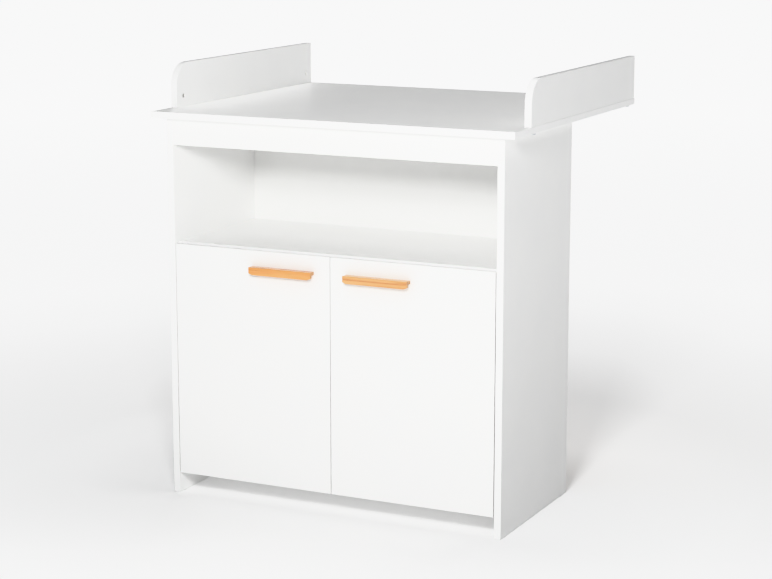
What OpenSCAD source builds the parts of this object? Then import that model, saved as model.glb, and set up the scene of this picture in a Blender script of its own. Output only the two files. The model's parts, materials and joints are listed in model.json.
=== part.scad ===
// Changing table: a two-door cabinet with an open niche under a deep changing top.
// Origin: centre of the whole footprint, on the floor. +X right, +Y to the back, +Z up.

/* [Changing top] */
// Width of the changing top
top_w = 930; // [900:1:980]
// Depth of the changing top, front to back
top_d = 785; // [760:1:840]
// Height of the changing surface above the floor
top_h = 937; // [900:1:980]
// How far the top stands out in front of the cabinet
front_overhang = 20.5; // [20.5:0.5:40]

/* [Guards] */
// Height of a side guard above the top
guard_h = 106; // [90:1:140]
// From the top's front edge back to a guard
guard_front = 94; // [60:1:120]
// From a guard back to the top's rear edge
guard_back = 5; // [0:1:20]
// Radius of a guard's upper front corner
guard_corner = 55; // [15:1:60]

/* [Cabinet] */
// Thickness of every coated board
board = 16; // [16:0.5:18]
// Outer width of the cabinet
cab_w = 866; // [840:1:880]
// Depth of the cabinet's side panels
cab_d = 413; // [400:1:460]
// Height of the rail over the niche
rail_h = 63; // [55:1:80]
// Height of the rail at the back, under the top
rear_rail_h = 80; // [70:1:100]
// Height of the niche's floor, the top of the middle shelf
shelf_top = 624; // [580:1:660]
// Height of the cupboard's underside
bottom_z = 55; // [54:1:80]
// Thickness of the back panels
back_t = 3; // [3:0.5:4]

/* [Doors] */
// Gap round and between the doors
door_gap = 3; // [2.5:0.5:4]
// Height of the doors' lower edge above the floor
door_bottom = 53; // [45:1:54]
// How much of the middle shelf shows above the doors
shelf_reveal = 4; // [3:0.5:8]

/* [Handles] */
// Length of a handle
handle_len = 164; // [150:1:200]
// Height of a handle
handle_h = 18; // [17:1:24]
// How far a handle stands out from its door
handle_d = 20; // [19:0.5:20]
// From a door's upper edge down to its handle
handle_drop = 36.5; // [20:0.5:60]
// From a door's free edge to its handle
handle_inset = 40; // [20:1:60]
// Distance between a handle's two screws
handle_pitch = 128; // [96:32:128]

/* [Hinges] */
// From a door's upper and lower edges to its hinges
hinge_inset = 90; // [80:1:120]
// Radius of the hinge cup's bore in the door
cup_r = 17.5; // [17.5:0.1:17.9]
// From a door's hinge edge to the middle of the cup
cup_inset = 22; // [22:0.5:24]

/* [Hidden] */
$fn = 48;

// How far a cutting shape runs past the face that it opens
past = 1;
// Clearance between a fastener and its hole, on the radius
fit = 0.03;

// Cabinet planes
x_in = cab_w / 2 - board;
y_front = front_overhang - top_d / 2;
y_rear = y_front + cab_d;
side_h = top_h - board;
shelf_z = shelf_top - board;

// Floor glides under the side panels
glide_r = 8;
glide_t = 2;
glide_pin_r = 1.5;
glide_pin_len = 10;
glide_inset = 30;

// Back panels: thin boards in a groove in each side panel, joined behind the middle shelf
back_inset = 22;
back_y = y_rear - back_inset - back_t;
groove_depth = 6;
groove_play = 0.1;
strip_flange = 1;
strip_h = 10;
strip_z = shelf_top - board / 2;
nail_r = 0.7;
nail_len = 18;
nail_head_r = 1.9;
nail_head_h = 0.6;
nail_count = 6;

// Doors and the boards behind them
hinge_x = x_in - door_gap;
door_w = hinge_x - door_gap / 2;
door_top = shelf_top - shelf_reveal;
inside_y = y_front + board + 1.5;
inside_d = back_y - strip_flange - 0.2 - inside_y;
buffer_r = 4;
buffer_t = 1.2;
buffer_x = 30;

// Cam fittings and dowels that hold the boards between the side panels.
// Each place is [y, z, turn]: turn 0 opens the cam downwards, turn 90 to the back.
flat_boards = [bottom_z + board / 2, strip_z];
bolt_y = [y_front + 60, back_y - 60];
dowel_y = [y_front + 120, back_y - 120];
front_rail_y = y_front + board / 2;
rear_rail_y = y_rear - board / 2;
rail_bolt = 20;
rail_dowel = 16;
BOLTS = [
    for (z = flat_boards) for (y = bolt_y) [y, z, 0],
    [front_rail_y, side_h - rail_h + rail_bolt, 90],
    [rear_rail_y, side_h - rear_rail_h + rail_bolt, 90]
];
DOWELS = [
    for (z = flat_boards) for (y = dowel_y) [y, z, 0],
    [front_rail_y, side_h - rail_dowel, 90],
    [rear_rail_y, side_h - rail_dowel, 90]
];
dowel_r = 4;
dowel_len = 30;
dowel_in_face = 10;
cam_r = 7.4;
cam_h = 12.5;
cam_x = 34;
cam_socket_r = 2.6;
cam_socket_h = 2.5;
cap_r = 8.6;
cap_t = 0.8;
bolt_bore_r = 4;
bolt_thread_r = 2.45;
bolt_thread_len = 10.5;
bolt_shank_r = 2.5;
bolt_neck_r = 1.8;
bolt_head_r = 3.4;
bolt_slot = 7.6;

// Adjustable shelf in the cupboard, on four pins in two rows of holes a side
pin_r = 2.45;
pin_hole_len = 9;
pin_reach = 8;
pin_y = [y_front + 75, back_y - 50];
pin_pitch = 32;
pin_rows = 5;
pin_z = 265;
pin_used = 2;
inner_shelf_z = pin_z + pin_used * pin_pitch + pin_r + 0.05;
inner_shelf_setback = 45;
inner_shelf_play = 0.5;

// Guard fixings: a bolt from below into a cross nut, and wooden dowels between
guard_y0 = guard_front - top_d / 2;
guard_y1 = top_d / 2 - guard_back;
guard_len = guard_y1 - guard_y0;
guard_x = top_w / 2 - board / 2;
nut_y = [guard_y0 + 31, guard_y1 - 31];
guard_dowel_y = [guard_y0 + 190, guard_y1 - 190];
nut_z = top_h + 26;
nut_r = 5;
nut_len = 13;
guard_bolt_r = 3;
guard_bolt_head_r = 6.5;
guard_bolt_head_h = 3.4;
guard_bolt_end = nut_z + 4.8;

// Small steel angles: under the top inside the cabinet, and at the rear edge for a wall
angle_t = 1.8;
angle_w = 20;
top_angle_leg = 28;
top_angle_y = [y_front + 75, back_y - 75];
wall_angle_leg = 40;
wall_hole_pitch = 600;
wall_hole_r = 2.75;
wall_hole_z = side_h - 26;

// Wood screws: shank radius, length, head radius, head height
screw_r = 1.7;
screw_len = 13;
screw_head_r = 3.3;
screw_head_h = 1.9;

// Handles
handle_x = door_gap / 2 + handle_inset + handle_len / 2;
handle_z = door_top - handle_drop - handle_h;
handle_web = 8;
handle_groove = 11;
handle_cut_x = 9;
handle_cut_z = 3.5;
handle_screw_r = 2;
handle_screw_in = 10;
handle_screw_z = handle_z + handle_h - handle_web / 2;

// Concealed hinges. Each is drawn round its door's turning axis, at the outer front
// corner of the door: +X along the closed door, +Y into the cabinet. The links are
// curved straps with that axis as their centre, one nested in the next.
hinge_z = [door_bottom + hinge_inset, door_top - hinge_inset];
cup_depth = 12;
cup_wall = 1;
cup_floor_y = board - cup_depth;
flange_t = 1.2;
flange_r = 19;
wing_x = cup_inset + 9.5;
wing_r = 6.5;
wing_pitch = 45;
link_start = 17.5;
link_end = 90;
inner_r0 = 25;
inner_r1 = 27.6;
inner_half = 4.5;
link_play = 0.5;
link_t = 1.7;
outer_r0 = 24.6;
outer_r1 = inner_r1 + link_play + link_t;
outer_half = inner_half + link_play + link_t;
arm_r1 = outer_r1 + link_play + link_t;
arm_half = outer_half + link_play + link_t;
arm_end = 90;
arm_height = 12;
arm_web_end = 71;
hinge_pin_r = 1.2;
hinge_pin_angle = 13.5;
hinge_pin_at = (inner_r0 + inner_r1) / 2;
plate_y = 53;
plate_screw_z = 16;
plate_r = 8;
arm_screw_y = [50, 76];
arm_screw_r = 2;
arm_screw_head_r = 3.6;
arm_screw_head_h = 2.5;

// Colours
white = [0.96, 0.96, 0.97];
beech = [0.93, 0.66, 0.40];
dowel_wood = [0.86, 0.73, 0.54];
steel = [0.72, 0.73, 0.75];
nylon = [0.90, 0.90, 0.88];

// Draws its children and their mirror image on the other side of the cabinet
module both_sides() {
    children();
    mirror([1, 0, 0]) children();
}

// A box from one corner to the other
module block(low, high) {
    translate(low) cube(high - low);
}

// A cylinder along +X, or along +Y
module rod_x(r, len) {
    rotate([0, 90, 0]) cylinder(r = r, h = len);
}

module rod_y(r, len) {
    rotate([-90, 0, 0]) cylinder(r = r, h = len);
}

// Part of a flat ring round the origin, between two radii and two angles
module ring_sector(r0, r1, a0, a1) {
    far = 2 * r1;
    mid = (a0 + a1) / 2;
    intersection() {
        difference() {
            circle(r = r1, $fn = 96);
            circle(r = r0, $fn = 96);
        }
        polygon([[0, 0], far * [cos(a0), sin(a0)], far * [cos(mid), sin(mid)],
                 far * [cos(a1), sin(a1)]]);
    }
}

// The same, raised between two heights
module arc(r0, r1, z0, z1, a0, a1) {
    translate([0, 0, z0]) linear_extrude(z1 - z0) ring_sector(r0, r1, a0, a1);
}

// A pan-head screw that points down, with its head on the plane z = 0
module screw(r, len, head_r, head_h) {
    tip = 2.5;
    slot_w = 0.9;
    difference() {
        union() {
            cylinder(r = head_r, h = head_h * 0.6, $fn = 32);
            translate([0, 0, head_h * 0.6])
                cylinder(r1 = head_r, r2 = head_r * 0.7, h = head_h * 0.4, $fn = 32);
            translate([0, 0, tip - len]) cylinder(r = r, h = len - tip, $fn = 24);
            translate([0, 0, -len]) cylinder(r1 = r * 0.2, r2 = r, h = tip, $fn = 24);
        }
        for (a = [0, 90])
            rotate([0, 0, a])
                block([-head_r * 0.6, -slot_w / 2, head_h * 0.4],
                      [head_r * 0.6, slot_w / 2, head_h + past]);
    }
}

module wood_screw() {
    screw(screw_r, screw_len, screw_head_r, screw_head_h);
}

// Places for the children, all on the left side of the cabinet
module at_bolts() {
    for (p = BOLTS) translate([-x_in, p[0], p[1]]) rotate([p[2], 0, 0]) children();
}

module at_dowels() {
    for (p = DOWELS) translate([-x_in, p[0], p[1]]) children();
}

module at_glides() {
    for (y = [y_front + glide_inset, y_rear - glide_inset])
        translate([board / 2 - cab_w / 2, y, 0]) children();
}

module at_top_angles() {
    for (y = top_angle_y) translate([-x_in, y, side_h]) children();
}

module at_wall_angle() {
    translate([-wall_hole_pitch / 2, top_d / 2, side_h]) children();
}

module at_hinges() {
    for (z = hinge_z) translate([-hinge_x, y_front, z]) children();
}

module at_plate_screws() {
    at_hinges()
        for (z = [-plate_screw_z, plate_screw_z])
            translate([0, plate_y, z]) rotate([0, 90, 0]) children();
}

module at_arm_screws() {
    at_hinges()
        for (y = arm_screw_y) translate([link_t, y, 0]) rotate([0, 90, 0]) children();
}

module at_cup_screws() {
    at_hinges()
        for (z = [-wing_pitch / 2, wing_pitch / 2])
            translate([wing_x, board + flange_t, z]) rotate([-90, 0, 0]) children();
}

module at_handle_screws() {
    for (x = [-handle_pitch / 2, handle_pitch / 2])
        translate([x - handle_x, y_front + board, handle_screw_z])
            rotate([-90, 0, 0]) children();
}

// Every hole for the fittings on the left side, in the side panel and in the boards
module fitting_holes() {
    at_bolts() {
        translate([-bolt_thread_len - past / 2, 0, 0])
            rod_x(bolt_thread_r + fit, bolt_thread_len + past);
        rod_x(bolt_bore_r, cam_x);
        translate([cam_x, 0, -board / 2 - past])
            cylinder(r = cam_r + 0.1, h = cam_h + 0.1 + past);
    }
    at_dowels()
        translate([-dowel_in_face - past / 2, 0, 0])
            rod_x(dowel_r + fit, dowel_len + past);
}

// The left side panel, with its groove and all its drilled holes
module side_panel() {
    difference() {
        block([-cab_w / 2, y_front, glide_t], [-x_in, y_rear, side_h]);
        block([-x_in - groove_depth, back_y - groove_play, -past],
              [-x_in + past, back_y + back_t + groove_play, top_h]);
        fitting_holes();
        for (y = pin_y, i = [0 : pin_rows - 1])
            translate([-x_in - pin_hole_len, y, pin_z + i * pin_pitch])
                rod_x(pin_r + fit, pin_hole_len + past);
        at_plate_screws()
            translate([0, 0, -screw_len - past]) cylinder(r = screw_r + fit, h = screw_len);
        at_top_angles()
            translate([-screw_len, 0, -top_angle_leg * 0.6])
                rod_x(screw_r + fit, screw_len + past);
        at_glides() cylinder(r = glide_pin_r + fit, h = glide_t + glide_pin_len + past);
    }
}

module left_side_panel() {
    color(white) side_panel();
}

module right_side_panel() {
    color(white) mirror([1, 0, 0]) side_panel();
}

// A board that lies between the side panels
module flat_board(z) {
    difference() {
        block([-x_in, inside_y, z], [x_in, inside_y + inside_d, z + board]);
        both_sides() fitting_holes();
        children();
    }
}

// Nails that hold the lower back panel to the bottom panel
module at_nails() {
    pitch = (2 * x_in - 60) / (nail_count - 1);
    for (i = [0 : nail_count - 1])
        translate([30 - x_in + i * pitch, back_y + back_t, bottom_z + board / 2]) children();
}

module bottom_panel() {
    color(white) flat_board(bottom_z)
        at_nails() translate([0, -nail_len - past, 0]) rod_y(nail_r + fit, nail_len + past);
}

module middle_shelf() {
    color(white) flat_board(shelf_z);
}

module inner_shelf() {
    x = x_in - inner_shelf_play;
    color(white)
        block([-x, y_front + inner_shelf_setback, inner_shelf_z],
              [x, back_y - 4, inner_shelf_z + board]);
}

module front_rail() {
    color(white) difference() {
        block([-x_in, y_front, side_h - rail_h], [x_in, y_front + board, side_h]);
        both_sides() fitting_holes();
    }
}

module rear_rail() {
    color(white) difference() {
        block([-x_in, y_rear - board, side_h - rear_rail_h], [x_in, y_rear, side_h]);
        both_sides() fitting_holes();
    }
}

// A back panel, whose sides stand in the grooves
module back_panel(z0, z1) {
    x = x_in + groove_depth - 0.5;
    block([-x, back_y, z0], [x, back_y + back_t, z1]);
}

module lower_back_panel() {
    color(white) difference() {
        back_panel(bottom_z, strip_z - strip_flange / 2);
        at_nails() translate([0, -back_t - past, 0]) rod_y(nail_r + fit, back_t + 2 * past);
    }
}

module upper_back_panel() {
    color(white) back_panel(strip_z + strip_flange / 2, side_h - 1);
}

// An H-shaped strip that holds the two back panels edge to edge
module back_joint_strip() {
    x = x_in - 0.5;
    color(nylon) {
        block([-x, back_y - strip_flange, strip_z - strip_h / 2],
              [x, back_y, strip_z + strip_h / 2]);
        block([-x, back_y + back_t, strip_z - strip_h / 2],
              [x, back_y + back_t + strip_flange, strip_z + strip_h / 2]);
        block([-x, back_y, strip_z - strip_flange / 2],
              [x, back_y + back_t, strip_z + strip_flange / 2]);
    }
}

module back_nails() {
    color(steel) at_nails() {
        translate([0, -nail_len, 0]) rod_y(nail_r, nail_len);
        rod_y(nail_head_r, nail_head_h);
    }
}

module carcass_dowels() {
    color(dowel_wood) both_sides() at_dowels()
        translate([-dowel_in_face, 0, 0]) rod_x(dowel_r, dowel_len);
}

// Bolts that screw into the side panels, with a head for the cam to pull on
module cam_bolts() {
    head_x = cam_x - 5;
    neck_x = cam_x - cam_r - 2;
    color(steel) both_sides() at_bolts() {
        translate([-bolt_thread_len, 0, 0]) rod_x(bolt_thread_r, bolt_thread_len);
        rod_x(bolt_shank_r, neck_x);
        rod_x(bolt_head_r, 2);
        rod_x(bolt_neck_r, head_x + 1);
        translate([head_x, 0, 0]) rod_x(bolt_head_r, 4);
    }
}

// Cams that turn behind the bolts' heads
module cam_locks() {
    color(steel) both_sides() at_bolts() translate([cam_x, 0, 0]) difference() {
        translate([0, 0, -board / 2]) cylinder(r = cam_r, h = cam_h);
        block([-cam_r - past, -bolt_slot / 2, -bolt_slot / 2], [1, bolt_slot / 2, cam_h]);
        translate([0, 0, -board / 2 - past])
            cylinder(r = cam_socket_r, h = cam_socket_h + past);
    }
}

module cam_caps() {
    color(nylon) both_sides() at_bolts() translate([cam_x, 0, -board / 2]) {
        translate([0, 0, -cap_t]) cylinder(r = cap_r, h = cap_t);
        cylinder(r = cam_socket_r - 0.1, h = cam_socket_h - 0.3);
    }
}

module shelf_pins() {
    z = pin_z + pin_used * pin_pitch;
    color(steel) both_sides()
        for (y = pin_y) translate([-x_in, y, z]) {
            translate([0.2 - pin_hole_len, 0, 0]) rod_x(pin_r, pin_hole_len + pin_reach);
            rod_x(pin_r + 1, 0.45);
            block([1, -3.5, pin_r - 1], [pin_reach, 3.5, inner_shelf_z - z]);
        }
}

module floor_glides() {
    color(nylon) both_sides() at_glides() {
        cylinder(r = glide_r - 0.6, h = glide_t);
        translate([0, 0, 0.6]) cylinder(r = glide_r - 0.2, h = glide_t - 0.6);
        cylinder(r = glide_pin_r, h = glide_t + glide_pin_len);
    }
}

// Thin pads that the doors close against, on the front edges of two boards
module door_buffers() {
    color(nylon) both_sides()
        for (z = flat_boards)
            translate([-buffer_x, inside_y - buffer_t, z]) rod_y(buffer_r, buffer_t);
}

module changing_top() {
    color(white) difference() {
        block([-top_w / 2, -top_d / 2, side_h], [top_w / 2, top_d / 2, top_h]);
        both_sides() {
            for (y = nut_y) translate([-guard_x, y, side_h - past])
                cylinder(r = guard_bolt_r + 0.3, h = board + 2 * past);
            for (y = guard_dowel_y) translate([-guard_x, y, top_h - dowel_in_face - 0.5])
                cylinder(r = dowel_r + fit, h = dowel_len);
            at_top_angles() translate([top_angle_leg * 0.6, 0, -past])
                cylinder(r = screw_r + fit, h = screw_len);
            at_wall_angle() for (y = [-12, -28]) translate([0, y, -past])
                cylinder(r = screw_r + fit, h = screw_len);
        }
    }
}

// The left guard: an upright board with one rounded corner
module guard() {
    difference() {
        translate([-top_w / 2, guard_y0, top_h]) rotate([90, 0, 90])
            linear_extrude(board) intersection() {
                square([guard_len, guard_h]);
                union() {
                    square([guard_len, guard_h - guard_corner]);
                    translate([guard_corner, 0]) square([guard_len, guard_h]);
                    translate([guard_corner, guard_h - guard_corner])
                        circle(r = guard_corner, $fn = 96);
                }
            }
        for (y = nut_y) {
            translate([-guard_x + board / 2 - nut_len - 0.5, y, nut_z])
                rod_x(nut_r + fit, nut_len + past);
            translate([-guard_x, y, top_h - past])
                cylinder(r = guard_bolt_r + 0.3, h = guard_bolt_end + 1.5 + past - top_h);
        }
        for (y = guard_dowel_y) translate([-guard_x, y, top_h - past])
            cylinder(r = dowel_r + fit, h = dowel_len - dowel_in_face + 0.5 + past);
    }
}

module left_guard() {
    color(white) guard();
}

module right_guard() {
    color(white) mirror([1, 0, 0]) guard();
}

// Bolts that come up through the top into the guards' cross nuts
module guard_bolts() {
    socket_r = 2.3;
    color(steel) both_sides()
        for (y = nut_y) translate([-guard_x, y, side_h]) difference() {
            union() {
                translate([0, 0, -guard_bolt_head_h * 0.5])
                    cylinder(r = guard_bolt_head_r, h = guard_bolt_head_h * 0.5);
                translate([0, 0, -guard_bolt_head_h])
                    cylinder(r1 = guard_bolt_head_r * 0.75, r2 = guard_bolt_head_r,
                             h = guard_bolt_head_h * 0.5);
                cylinder(r = guard_bolt_r, h = guard_bolt_end - side_h);
            }
            translate([0, 0, -guard_bolt_head_h - past])
                cylinder(r = socket_r, h = 2.4 + past, $fn = 6);
        }
}

module guard_barrel_nuts() {
    color(steel) both_sides()
        for (y = nut_y)
            translate([-guard_x + board / 2 - nut_len, y, nut_z]) difference() {
                rod_x(nut_r, nut_len - 0.2);
                translate([nut_len - board / 2, 0, -nut_r - past])
                    cylinder(r = guard_bolt_r + fit, h = 2 * (nut_r + past));
                block([nut_len - 1.6, -nut_r, -0.7], [nut_len + past, nut_r, 0.7]);
            }
}

module guard_dowels() {
    color(dowel_wood) both_sides()
        for (y = guard_dowel_y)
            translate([-guard_x, y, top_h - dowel_in_face]) cylinder(r = dowel_r, h = dowel_len);
}

// Steel angles that hold the top to the side panels
module top_brackets() {
    leg = top_angle_leg;
    color(steel) both_sides() at_top_angles() difference() {
        union() {
            block([0, -angle_w / 2, -leg], [angle_t, angle_w / 2, 0]);
            block([0, -angle_w / 2, -angle_t], [leg, angle_w / 2, 0]);
        }
        translate([-past, 0, -leg * 0.6]) rod_x(screw_r + 0.3, angle_t + 2 * past);
        translate([leg * 0.6, 0, -angle_t - past])
            cylinder(r = screw_r + 0.3, h = angle_t + 2 * past);
    }
}

module top_bracket_screws() {
    leg = top_angle_leg;
    color(steel) both_sides() at_top_angles() {
        translate([angle_t, 0, -leg * 0.6]) rotate([0, 90, 0]) wood_screw();
        translate([leg * 0.6, 0, -angle_t]) rotate([180, 0, 0]) wood_screw();
    }
}

// Steel angles under the top's rear edge, each with one hole for a wall screw
module wall_brackets() {
    leg = wall_angle_leg;
    color(steel) both_sides() at_wall_angle() difference() {
        union() {
            block([-angle_w / 2, -angle_t, -leg], [angle_w / 2, 0, 0]);
            block([-angle_w / 2, -leg, -angle_t], [angle_w / 2, 0, 0]);
        }
        translate([0, -angle_t - past, wall_hole_z - side_h])
            rod_y(wall_hole_r, angle_t + 2 * past);
        for (y = [-12, -28]) translate([0, y, -angle_t - past])
            cylinder(r = screw_r + 0.3, h = angle_t + 2 * past);
    }
}

module wall_bracket_screws() {
    color(steel) both_sides() at_wall_angle()
        for (y = [-12, -28]) translate([0, y, -angle_t]) rotate([180, 0, 0]) wood_screw();
}

// Cross-shaped plates on the side panels, which carry the hinge arms
module hinge_plates() {
    color(steel) both_sides() difference() {
        at_hinges() {
            block([-door_gap, plate_y - 13, -arm_half], [0, arm_end - 2, arm_half]);
            block([-door_gap, plate_y - plate_r, -plate_screw_z],
                  [0, plate_y + plate_r, plate_screw_z]);
            for (z = [-plate_screw_z, plate_screw_z])
                translate([-door_gap, plate_y, z]) rod_x(plate_r, door_gap);
        }
        at_plate_screws() translate([0, 0, -door_gap - past])
            cylinder(r = screw_r + 0.2, h = door_gap + 2 * past);
        at_arm_screws() translate([0, 0, -door_gap - link_t - past])
            cylinder(r = arm_screw_r + fit, h = door_gap + link_t + 2 * past);
    }
}

module hinge_plate_screws() {
    color(steel) both_sides() at_plate_screws() wood_screw();
}

// A channel with a curved nose that reaches into the cup, round the outer link
module hinge_arm() {
    nose_r = arm_r1 - link_t;
    floor_y = plate_y - 13;
    translate([0, 0, -arm_half]) linear_extrude(2 * arm_half) {
        ring_sector(nose_r, arm_r1, link_start, arm_web_end);
        translate([arm_height - link_t, nose_r - past])
            square([link_t, arm_end - nose_r + past]);
        translate([0, floor_y]) square([link_t, arm_end - floor_y]);
    }
    for (z = [-arm_half, arm_half - link_t])
        translate([0, 0, z]) linear_extrude(link_t) {
            ring_sector(outer_r0, arm_r1, link_start, link_end);
            translate([0, outer_r0 + 2]) square([arm_height, arm_end - outer_r0 - 2]);
        }
}

module hinge_arms() {
    access_r = 4.2;
    color(steel) both_sides() difference() {
        at_hinges() hinge_arm();
        at_arm_screws() {
            translate([0, 0, -link_t - past])
                cylinder(r = arm_screw_r + fit, h = link_t + 2 * past);
            translate([0, 0, link_t * 2]) cylinder(r = access_r, h = arm_height);
        }
    }
}

module hinge_arm_screws() {
    color(steel) both_sides() at_arm_screws()
        screw(arm_screw_r, link_t + door_gap - 0.1, arm_screw_head_r, arm_screw_head_h);
}

// The middle link: a curved channel between the arm and the inner link
module outer_links() {
    at_hinges() difference() {
        arc(outer_r0, outer_r1, -outer_half, outer_half, link_start, link_end);
        arc(outer_r0 - past, outer_r1 - link_t, link_t - outer_half, outer_half - link_t,
            link_start - 5, link_end + 5);
    }
}

module left_outer_links() {
    color(steel) outer_links();
}

module right_outer_links() {
    color(steel) mirror([1, 0, 0]) outer_links();
}

// The inner link: a curved strap on a pin across the cup
module at_cup_pin() {
    rotate([0, 0, hinge_pin_angle]) translate([hinge_pin_at, 0, 0]) children();
}

module inner_links() {
    at_hinges() {
        arc(inner_r0, inner_r1, -inner_half, inner_half, hinge_pin_angle, link_end + 2);
        at_cup_pin() translate([0, 0, -cup_r + 1]) cylinder(r = hinge_pin_r, h = 2 * cup_r - 2);
    }
}

module left_inner_links() {
    color(steel) inner_links();
}

module right_inner_links() {
    color(steel) mirror([1, 0, 0]) inner_links();
}

// The hinge cups, each with a flange and two screw wings on the door's back face
module hinge_cups() {
    difference() {
        at_hinges() {
            translate([cup_inset, cup_floor_y + 0.05, 0]) rod_y(cup_r - 0.1, cup_depth);
            translate([cup_inset, board, 0]) rod_y(flange_r, flange_t);
            block([wing_x - wing_r, board, -wing_pitch / 2],
                  [wing_x + wing_r, board + flange_t, wing_pitch / 2]);
            for (z = [-wing_pitch / 2, wing_pitch / 2])
                translate([wing_x, board, z]) rod_y(wing_r, flange_t);
        }
        at_hinges() {
            translate([cup_inset, cup_floor_y + 0.85, 0])
                rod_y(cup_r - 0.1 - cup_wall, board);
            at_cup_pin() translate([0, 0, -cup_r]) cylinder(r = hinge_pin_r + fit, h = 2 * cup_r);
        }
        at_cup_screws() translate([0, 0, -flange_t - past])
            cylinder(r = screw_r + 0.2, h = flange_t + 2 * past);
    }
}

module left_hinge_cups() {
    color(steel) hinge_cups();
}

module right_hinge_cups() {
    color(steel) mirror([1, 0, 0]) hinge_cups();
}

module left_cup_screws() {
    color(steel) at_cup_screws() wood_screw();
}

module right_cup_screws() {
    color(steel) mirror([1, 0, 0]) at_cup_screws() wood_screw();
}

// The left door, with its cup bores and screw holes
module door() {
    difference() {
        block([-hinge_x, y_front, door_bottom],
              [door_w - hinge_x, y_front + board, door_top]);
        at_hinges() translate([cup_inset, cup_floor_y, 0]) rod_y(cup_r, cup_depth + past);
        at_cup_screws() translate([0, 0, -screw_len - past / 2])
            cylinder(r = screw_r + fit, h = screw_len + past);
        at_handle_screws() translate([0, 0, -board - past])
            cylinder(r = handle_screw_r + 0.2, h = board + 2 * past);
    }
}

module left_door() {
    color(white) door();
}

module right_door() {
    color(white) mirror([1, 0, 0]) door();
}

// A web on the door and a lip in front of the finger groove, with sloping cuts at the lower corners
module handle() {
    half = handle_len / 2;
    difference() {
        translate([-handle_x, y_front, handle_z]) intersection() {
            translate([-half, 0, 0]) rotate([90, 0, 90]) linear_extrude(handle_len)
                polygon([[0, handle_h - handle_web], [-handle_groove, handle_h - handle_web],
                         [-handle_groove, 0], [-handle_d, 0], [-handle_d, handle_h], [0, handle_h]]);
            rotate([90, 0, 0]) linear_extrude(handle_d)
                polygon([[-half, handle_h], [-half, handle_cut_z], [handle_cut_x - half, 0],
                         [half - handle_cut_x, 0], [half, handle_cut_z], [half, handle_h]]);
        }
        at_handle_screws() translate([0, 0, -board - handle_screw_in - 0.5])
            cylinder(r = handle_screw_r + fit, h = handle_screw_in + board);
    }
}

module left_handle() {
    color(beech) handle();
}

module right_handle() {
    color(beech) mirror([1, 0, 0]) handle();
}

module handle_screws() {
    at_handle_screws()
        screw(handle_screw_r, board + handle_screw_in, handle_screw_r * 2, 2.2);
}

module left_handle_screws() {
    color(steel) handle_screws();
}

module right_handle_screws() {
    color(steel) mirror([1, 0, 0]) handle_screws();
}

left_side_panel();
right_side_panel();
bottom_panel();
middle_shelf();
inner_shelf();
front_rail();
rear_rail();
lower_back_panel();
upper_back_panel();
back_joint_strip();
back_nails();
carcass_dowels();
cam_bolts();
cam_locks();
cam_caps();
shelf_pins();
floor_glides();
door_buffers();
changing_top();
left_guard();
right_guard();
guard_bolts();
guard_barrel_nuts();
guard_dowels();
top_brackets();
top_bracket_screws();
wall_brackets();
wall_bracket_screws();
hinge_plates();
hinge_plate_screws();
hinge_arms();
hinge_arm_screws();
left_outer_links();
right_outer_links();
left_inner_links();
right_inner_links();
left_hinge_cups();
right_hinge_cups();
left_cup_screws();
right_cup_screws();
left_door();
right_door();
left_handle();
right_handle();
left_handle_screws();
right_handle_screws();
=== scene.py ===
"""Looks for the changing table: rounded boards, wood, metal, studio light and camera."""
import json
import math

import bmesh
import bpy
from mathutils import Euler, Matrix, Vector


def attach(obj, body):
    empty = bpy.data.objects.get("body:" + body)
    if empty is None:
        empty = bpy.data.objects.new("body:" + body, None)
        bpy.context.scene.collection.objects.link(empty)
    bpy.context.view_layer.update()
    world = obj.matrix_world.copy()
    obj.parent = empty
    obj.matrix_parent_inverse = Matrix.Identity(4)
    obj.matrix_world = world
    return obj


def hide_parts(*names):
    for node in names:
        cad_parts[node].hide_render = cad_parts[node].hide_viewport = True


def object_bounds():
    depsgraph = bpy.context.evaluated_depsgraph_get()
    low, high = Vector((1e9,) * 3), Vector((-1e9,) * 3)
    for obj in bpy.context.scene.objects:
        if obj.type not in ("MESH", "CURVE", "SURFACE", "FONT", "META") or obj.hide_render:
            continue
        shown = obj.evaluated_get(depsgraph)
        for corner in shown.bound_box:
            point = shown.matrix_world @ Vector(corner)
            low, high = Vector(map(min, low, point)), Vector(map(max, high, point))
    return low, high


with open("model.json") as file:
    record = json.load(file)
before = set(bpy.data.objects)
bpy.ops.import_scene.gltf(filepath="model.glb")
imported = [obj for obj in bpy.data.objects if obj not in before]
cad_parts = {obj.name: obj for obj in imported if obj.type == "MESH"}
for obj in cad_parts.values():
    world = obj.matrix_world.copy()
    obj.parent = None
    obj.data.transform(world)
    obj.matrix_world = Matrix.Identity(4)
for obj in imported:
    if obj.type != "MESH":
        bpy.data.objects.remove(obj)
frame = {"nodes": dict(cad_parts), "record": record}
cad_low, cad_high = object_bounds()
nodes = frame["nodes"]
SLOT_OF = {part["node"]: part["material_slot"] for part in frame["record"]["subparts"]}
BODY_OF = {node: body for body, held in frame["record"]["behaviour"]["bodies"].items()
           for node in held}
MM = 0.001
# Places of the colour sockets on a Mix node, whose three kinds share their names.
MIX_A, MIX_B, MIX_RESULT = 6, 7, 2


# ---------------------------------------------------------------- material helpers
# Most values of a noise texture lie between these two.
NOISE_LOW, NOISE_HIGH = 0.3, 0.7


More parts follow.
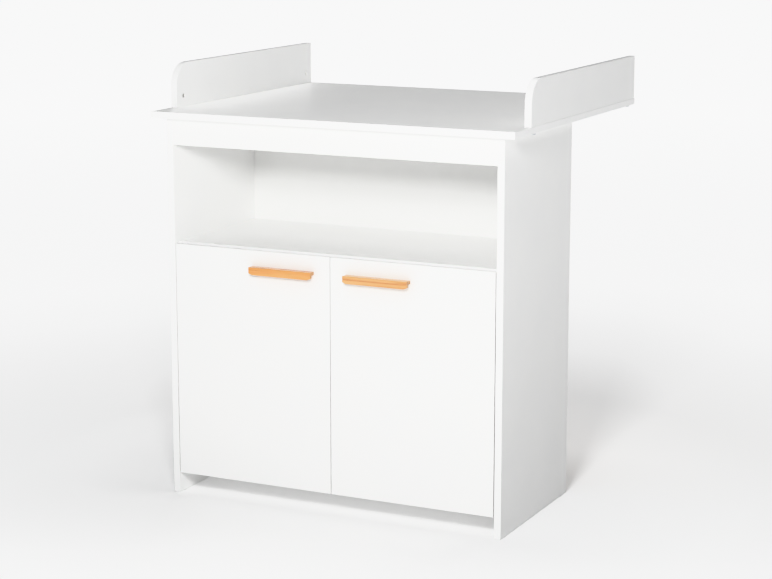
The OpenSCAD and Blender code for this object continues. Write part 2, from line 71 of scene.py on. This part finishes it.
class Shades:
    """One procedural material: a Principled shader and short calls that add nodes to it."""

    def __init__(self, name, colour, roughness, metallic=0.0):
        self.material = bpy.data.materials.new(name)
        self.material.use_nodes = True
        self.tree = self.material.node_tree
        self.tree.nodes.clear()
        self.output = self.add("ShaderNodeOutputMaterial")
        self.shader = self.add("ShaderNodeBsdfPrincipled")
        self.link(self.shader, "BSDF", self.output, "Surface")
        self.shader.inputs["Base Color"].default_value = (*colour, 1)
        self.shader.inputs["Roughness"].default_value = roughness
        self.shader.inputs["Metallic"].default_value = metallic
        self.place = self.add("ShaderNodeTexCoord")

    def add(self, kind):
        return self.tree.nodes.new(kind)

    def link(self, source, output, target, socket):
        self.tree.links.new(source.outputs[output], target.inputs[socket])

    def stretched(self, scale):
        """Object coordinates, scaled along each axis."""
        mapping = self.add("ShaderNodeMapping")
        mapping.inputs["Scale"].default_value = scale
        self.link(self.place, "Object", mapping, "Vector")
        return mapping

    def noise(self, scale, detail=3.0, stretch=(1, 1, 1), distortion=0.0):
        node = self.add("ShaderNodeTexNoise")
        node.inputs["Scale"].default_value = scale
        node.inputs["Detail"].default_value = detail
        node.inputs["Distortion"].default_value = distortion
        self.link(self.stretched(stretch), "Vector", node, "Vector")
        return node

    def ramp(self, source, stops, output="Fac"):
        """A colour ramp: stops are (position, colour) pairs."""
        node = self.add("ShaderNodeValToRGB")
        line = node.color_ramp
        for element, (position, colour) in zip(line.elements, (stops[0], stops[-1])):
            element.position = position
            element.color = (*colour, 1)
        for position, colour in stops[1:-1]:
            line.elements.new(position).color = (*colour, 1)
        self.link(source, output, node, "Fac")
        return node

    def spread(self, source, low, high):
        """A noise value mapped to the range low to high."""
        node = self.add("ShaderNodeMapRange")
        node.inputs["From Min"].default_value = NOISE_LOW
        node.inputs["From Max"].default_value = NOISE_HIGH
        node.inputs["To Min"].default_value = low
        node.inputs["To Max"].default_value = high
        self.link(source, "Fac", node, "Value")
        return node

    def reach(self, source, output, far):
        """A distance mapped to the range 0 to 1 between nothing and far."""
        node = self.add("ShaderNodeMapRange")
        node.inputs["From Max"].default_value = far
        self.link(source, output, node, "Value")
        return node

    def multiplied(self, a, b):
        """The product of two colour outputs."""
        node = self.add("ShaderNodeMix")
        node.data_type = "RGBA"
        node.blend_type = "MULTIPLY"
        node.inputs["Factor"].default_value = 1
        self.tree.links.new(a, node.inputs[MIX_A])
        self.tree.links.new(b, node.inputs[MIX_B])
        return node.outputs[MIX_RESULT]

    def bump(self, height, distance, strength):
        node = self.add("ShaderNodeBump")
        node.inputs["Distance"].default_value = distance
        node.inputs["Strength"].default_value = strength
        self.link(height, "Fac", node, "Height")
        self.link(node, "Normal", self.shader, "Normal")


def grey(value):
    return (value, value, value)


# ---------------------------------------------------------------- materials
def melamine():
    """White coated chipboard: satin, with the faint orange peel of the pressed foil."""
    m = Shades("white_melamine", (0.915, 0.915, 0.905), 0.38)
    cloud = m.noise(9, 4)
    m.link(m.ramp(cloud, [(0.3, (0.905, 0.906, 0.9)), (0.7, (0.922, 0.921, 0.911))]),
           "Color", m.shader, "Base Color")
    m.link(m.spread(m.noise(60, 5), 0.34, 0.44), "Result", m.shader, "Roughness")
    m.bump(m.noise(430, 2), 0.012 * MM, 0.3)
    return m.material


def edge_band():
    """The plastic strip on the boards' edges: evenly smooth, more so than the boards' faces."""
    m = Shades("white_edge_band", (0.91, 0.91, 0.905), 0.31)
    m.link(m.ramp(m.noise(23, 3), [(0.3, (0.9, 0.9, 0.895)), (0.7, (0.917, 0.917, 0.912))]),
           "Color", m.shader, "Base Color")
    m.bump(m.noise(370, 1), 0.01 * MM, 0.2)
    return m.material


def hardboard_face():
    m = Shades("white_lacquered_hardboard", (0.91, 0.91, 0.9), 0.5)
    m.link(m.ramp(m.noise(17, 4), [(0.3, (0.9, 0.9, 0.888)), (0.7, (0.917, 0.916, 0.905))]),
           "Color", m.shader, "Base Color")
    m.link(m.spread(m.noise(80, 4), 0.45, 0.58), "Result", m.shader, "Roughness")
    m.bump(m.noise(390, 3), 0.02 * MM, 0.3)
    return m.material


def hardboard_back():
    """Raw brown fibreboard, as the outer side of such back panels is."""
    m = Shades("brown_fibreboard", (0.43, 0.3, 0.19), 0.85)
    fibres = m.noise(420, 6, (1, 1, 1.6), 0.6)
    clouds = m.noise(14, 4)
    fine = m.ramp(fibres, [(0.3, (0.33, 0.22, 0.13)), (0.55, (0.45, 0.31, 0.2)),
                           (0.75, (0.54, 0.39, 0.265))])
    coarse = m.ramp(clouds, [(0.3, grey(0.88)), (0.7, grey(1.0))])
    m.tree.links.new(m.multiplied(fine.outputs["Color"], coarse.outputs["Color"]),
                     m.shader.inputs["Base Color"])
    m.bump(fibres, 0.15 * MM, 0.6)
    return m.material


def beech(name, tint):
    """Lacquered beech with its grain along X: growth lines, fine pores and short ray flecks.

    tint scales the colour, so that one bar comes out paler and less orange than the other.
    """
    m = Shades(name, (0.76, 0.38, 0.12), 0.3)
    lines = m.noise(110, 6, (0.03, 1, 1), 0.8)
    pores = m.noise(900, 3, (0.04, 1, 1))
    flecks = m.noise(700, 2, (0.12, 1, 0.5))
    growth = [(0.3, (0.46, 0.16, 0.04)), (0.45, (0.68, 0.29, 0.075)),
              (0.58, (0.77, 0.36, 0.1)), (0.74, (0.88, 0.47, 0.16))]
    wood = m.ramp(lines, [(at, tuple(a * b for a, b in zip(colour, tint)))
                          for at, colour in growth])
    pore = m.ramp(pores, [(0.36, grey(0.7)), (0.46, grey(1.0))])
    fleck = m.ramp(flecks, [(0.62, grey(1.0)), (0.72, grey(0.78))])
    fine = m.multiplied(wood.outputs["Color"], pore.outputs["Color"])
    m.tree.links.new(m.multiplied(fine, fleck.outputs["Color"]),
                     m.shader.inputs["Base Color"])
    m.link(m.spread(lines, 0.24, 0.36), "Result", m.shader, "Roughness")
    m.bump(pores, 0.05 * MM, 0.35)
    m.shader.inputs["Coat Weight"].default_value = 0.6
    m.shader.inputs["Coat Roughness"].default_value = 0.18
    return m.material


def end_grain():
    """The sawn ends of the bars: darker, with the cut pores as fine dots."""
    m = Shades("beech_end_grain", (0.5, 0.25, 0.09), 0.5)
    dots = m.noise(1400, 2)
    m.link(m.ramp(dots, [(0.35, (0.3, 0.14, 0.05)), (0.55, (0.55, 0.29, 0.11))]),
           "Color", m.shader, "Base Color")
    m.bump(dots, 0.04 * MM, 0.4)
    m.shader.inputs["Coat Weight"].default_value = 0.3
    m.shader.inputs["Coat Roughness"].default_value = 0.25
    return m.material


def raw_dowel():
    m = Shades("raw_beech", (0.62, 0.42, 0.24), 0.7)
    lines = m.noise(260, 4, (0.08, 0.3, 1))
    m.link(m.ramp(lines, [(0.3, (0.52, 0.33, 0.17)), (0.7, (0.68, 0.48, 0.28))]),
           "Color", m.shader, "Base Color")
    m.bump(lines, 0.1 * MM, 0.5)
    return m.material


def nickel():
    """Nickel-plated pressed steel, with faint drawing marks and handling dullness."""
    m = Shades("nickel_plate", (0.66, 0.65, 0.63), 0.24, 1.0)
    m.link(m.spread(m.noise(260, 4, (1, 1, 0.15)), 0.18, 0.34), "Result", m.shader, "Roughness")
    m.bump(m.noise(1200, 2, (1, 1, 0.2)), 0.01 * MM, 0.3)
    return m.material


def zinc():
    m = Shades("zinc_plate", (0.60, 0.62, 0.65), 0.34, 1.0)
    tint = m.noise(90, 4)
    m.link(m.ramp(tint, [(0.3, (0.54, 0.56, 0.60)), (0.7, (0.66, 0.67, 0.68))]),
           "Color", m.shader, "Base Color")
    m.link(m.spread(m.noise(400, 4), 0.26, 0.44), "Result", m.shader, "Roughness")
    m.bump(m.noise(900, 3), 0.02 * MM, 0.4)
    return m.material


def plastic():
    m = Shades("white_plastic", (0.80, 0.80, 0.78), 0.45)
    m.link(m.spread(m.noise(300, 3), 0.4, 0.52), "Result", m.shader, "Roughness")
    m.bump(m.noise(1600, 2), 0.01 * MM, 0.4)
    return m.material


BOARD = (melamine(), edge_band())
HARDBOARD = (hardboard_face(), hardboard_back())
GRIP = {"left_handle": beech("lacquered_beech", (1, 1.04, 1.08)),
        "right_handle": beech("pale_beech", (1.04, 1.31, 1.85))}
SAWN = end_grain()
SLOT_MATERIALS = {
    "white_board": BOARD[0], "white_hardboard": HARDBOARD[0], "beech": GRIP["left_handle"],
    "dowel_wood": raw_dowel(), "nickel_steel": nickel(), "zinc_steel": zinc(),
    "white_plastic": plastic(),
}
for node, slot in SLOT_OF.items():
    nodes[node].data.materials.clear()
    nodes[node].data.materials.append(SLOT_MATERIALS[slot])


# ---------------------------------------------------------------- rounded pieces
SHARP = math.radians(35)
BIG = 40 * MM
BOARD_RADIUS = 0.6 * MM
SHEET_RADIUS = 0.25 * MM
GRIP_RADIUS = 1.2 * MM
MARGIN = 1.6
# A face whose normal leans past this along X is a sawn end of a grip.
END_FACE = 0.8


def is_sharp(edge):
    return len(edge.link_faces) == 2 and edge.calc_face_angle() > SHARP


def groups(items, neighbours):
    """Splits items into groups whose members are reached from each other."""
    left = set(items)
    while left:
        group = []
        waiting = [left.pop()]
        while waiting:
            item = waiting.pop()
            group.append(item)
            for other in neighbours(item):
                if other in left:
                    left.remove(other)
                    waiting.append(other)
        yield group


def smooth_neighbours(face):
    return [other for edge in face.edges if not is_sharp(edge) for other in edge.link_faces]


def edge_neighbours(edge):
    return [other for corner in edge.verts for other in corner.link_edges]


def extent(group):
    """The longest side of the box round a group of faces or edges."""
    points = [corner.co for item in group for corner in item.verts]
    return max(max(p[i] for p in points) - min(p[i] for p in points) for i in range(3))


def rounded(name, node, radius, segments=3):
    """A copy of a CAD node whose outline edges are rounded. Its holes keep their crisp rims.

    Each large face first gets a narrow margin inside its border, so that the rounding
    meets clean corners and not the edges that lead to the holes.
    """
    bm = bmesh.new()
    bm.from_mesh(nodes[node].data)
    bmesh.ops.remove_doubles(bm, verts=bm.verts, dist=0.005 * MM)
    bmesh.ops.dissolve_limit(bm, angle_limit=math.radians(0.5), verts=bm.verts, edges=bm.edges)
    regions = [group for group in groups(bm.faces, smooth_neighbours) if extent(group) > BIG]
    for region in regions:
        bmesh.ops.inset_region(bm, faces=region, thickness=MARGIN * radius, depth=0,
                               use_boundary=True, use_even_offset=True)
    outline = [edge for group in groups(filter(is_sharp, bm.edges), edge_neighbours)
               if extent(group) > BIG for edge in group if edge.is_convex]
    bmesh.ops.bevel(bm, geom=outline, offset=radius, segments=segments, profile=0.5,
                    affect="EDGES", clamp_overlap=False)
    bmesh.ops.dissolve_degenerate(bm, edges=bm.edges, dist=0.002 * MM)
    mesh = bpy.data.meshes.new(name)
    bm.to_mesh(mesh)
    bm.free()
    mesh.shade_smooth()
    mesh.set_sharp_from_angle(angle=SHARP)
    piece = bpy.data.objects.new(name, mesh)
    bpy.context.scene.collection.objects.link(piece)
    even = piece.modifiers.new("even_normals", "WEIGHTED_NORMAL")
    even.keep_sharp = True
    even.weight = 90
    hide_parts(node)
    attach(piece, BODY_OF[node])
    return piece


def thin_axis(mesh):
    sizes = [max(v.co[i] for v in mesh.vertices) - min(v.co[i] for v in mesh.vertices)
             for i in range(3)]
    return sizes.index(min(sizes))


def board(node):
    """A coated board: melamine on its two faces and edge band on its narrow sides."""
    piece = rounded(node + "_board", node, BOARD_RADIUS)
    for material in BOARD:
        piece.data.materials.append(material)
    axis = thin_axis(piece.data)
    for face in piece.data.polygons:
        face.material_index = 0 if abs(face.normal[axis]) > 0.5 else 1


def back_panel(node):
    """A hardboard panel: white to the front, raw brown on its rear face and edges."""
    piece = rounded(node + "_sheet", node, SHEET_RADIUS, 2)
    for material in HARDBOARD:
        piece.data.materials.append(material)
    for face in piece.data.polygons:
        face.material_index = 0 if face.normal.y < -0.5 else 1


def wooden_handle(node):
    piece = rounded(node + "_grip", node, GRIP_RADIUS, 4)
    piece.data.materials.append(GRIP[node])
    piece.data.materials.append(SAWN)
    for face in piece.data.polygons:
        face.material_index = 1 if abs(face.normal.x) > END_FACE else 0


for node, slot in SLOT_OF.items():
    if slot == "white_board":
        board(node)
    elif slot == "white_hardboard":
        back_panel(node)
    elif slot == "beech":
        wooden_handle(node)


# ---------------------------------------------------------------- stage, light, camera
FLOOR_SIZE = 60
GLOW_REACH = 8
# The camera's tilt below level and its turn from facing the rear, in degrees.
LOOK_DOWN = 11.4
TURN_LEFT = 25.94


def studio_floor():
    """A white sweep. It glows faintly under the table and brightly further out."""
    bpy.ops.mesh.primitive_plane_add(size=FLOOR_SIZE, location=(0, 0, cad_low.z))
    floor = bpy.context.object
    floor.name = "floor"
    m = Shades("floor", (0.9, 0.9, 0.9), 0.9)
    away = m.add("ShaderNodeVectorMath")
    away.operation = "LENGTH"
    m.link(m.place, "Object", away, 0)
    glow = m.ramp(m.reach(away, "Value", GLOW_REACH),
                  [(0.12, grey(0.2)), (0.32, grey(0.85)), (1, grey(1.5))], "Result")
    m.link(glow, "Color", m.shader, "Emission Color")
    m.shader.inputs["Emission Strength"].default_value = 1
    floor.data.materials.append(m.material)


def studio_sky():
    world = bpy.data.worlds.new("studio")
    bpy.context.scene.world = world
    world.use_nodes = True
    background = world.node_tree.nodes["Background"]
    background.inputs["Color"].default_value = (0.85, 0.92, 1, 1)
    background.inputs["Strength"].default_value = 0.02


def soft_light(name, place, target, size, power):
    data = bpy.data.lights.new(name, "AREA")
    data.shape = "RECTANGLE"
    data.size = size
    data.size_y = size
    data.energy = power
    lamp = bpy.data.objects.new(name, data)
    bpy.context.scene.collection.objects.link(lamp)
    lamp.location = place
    lamp.rotation_euler = (Vector(target) - Vector(place)).to_track_quat("-Z", "Y").to_euler()


def main_camera():
    """Front right, a little above the table."""
    data = bpy.data.cameras.new("camera")
    data.sensor_width = 36
    data.lens = 95.96
    data.clip_end = 200
    camera = bpy.data.objects.new("camera", data)
    bpy.context.scene.collection.objects.link(camera)
    camera.location = (2.156, -4.508, 1.485)
    camera.rotation_euler = Euler((math.radians(90 - LOOK_DOWN), 0, math.radians(TURN_LEFT)))
    bpy.context.scene.camera = camera


studio_floor()
studio_sky()
soft_light("key", (0.8, -2.4, 1.6), (0, -0.3, 0.6), 0.5, 63)
soft_light("overhead", (0, 1.5, 5.2), (0, -0.2, 0.5), 2.5, 150)
main_camera()
bpy.context.scene.view_settings.view_transform = "Khronos PBR Neutral"
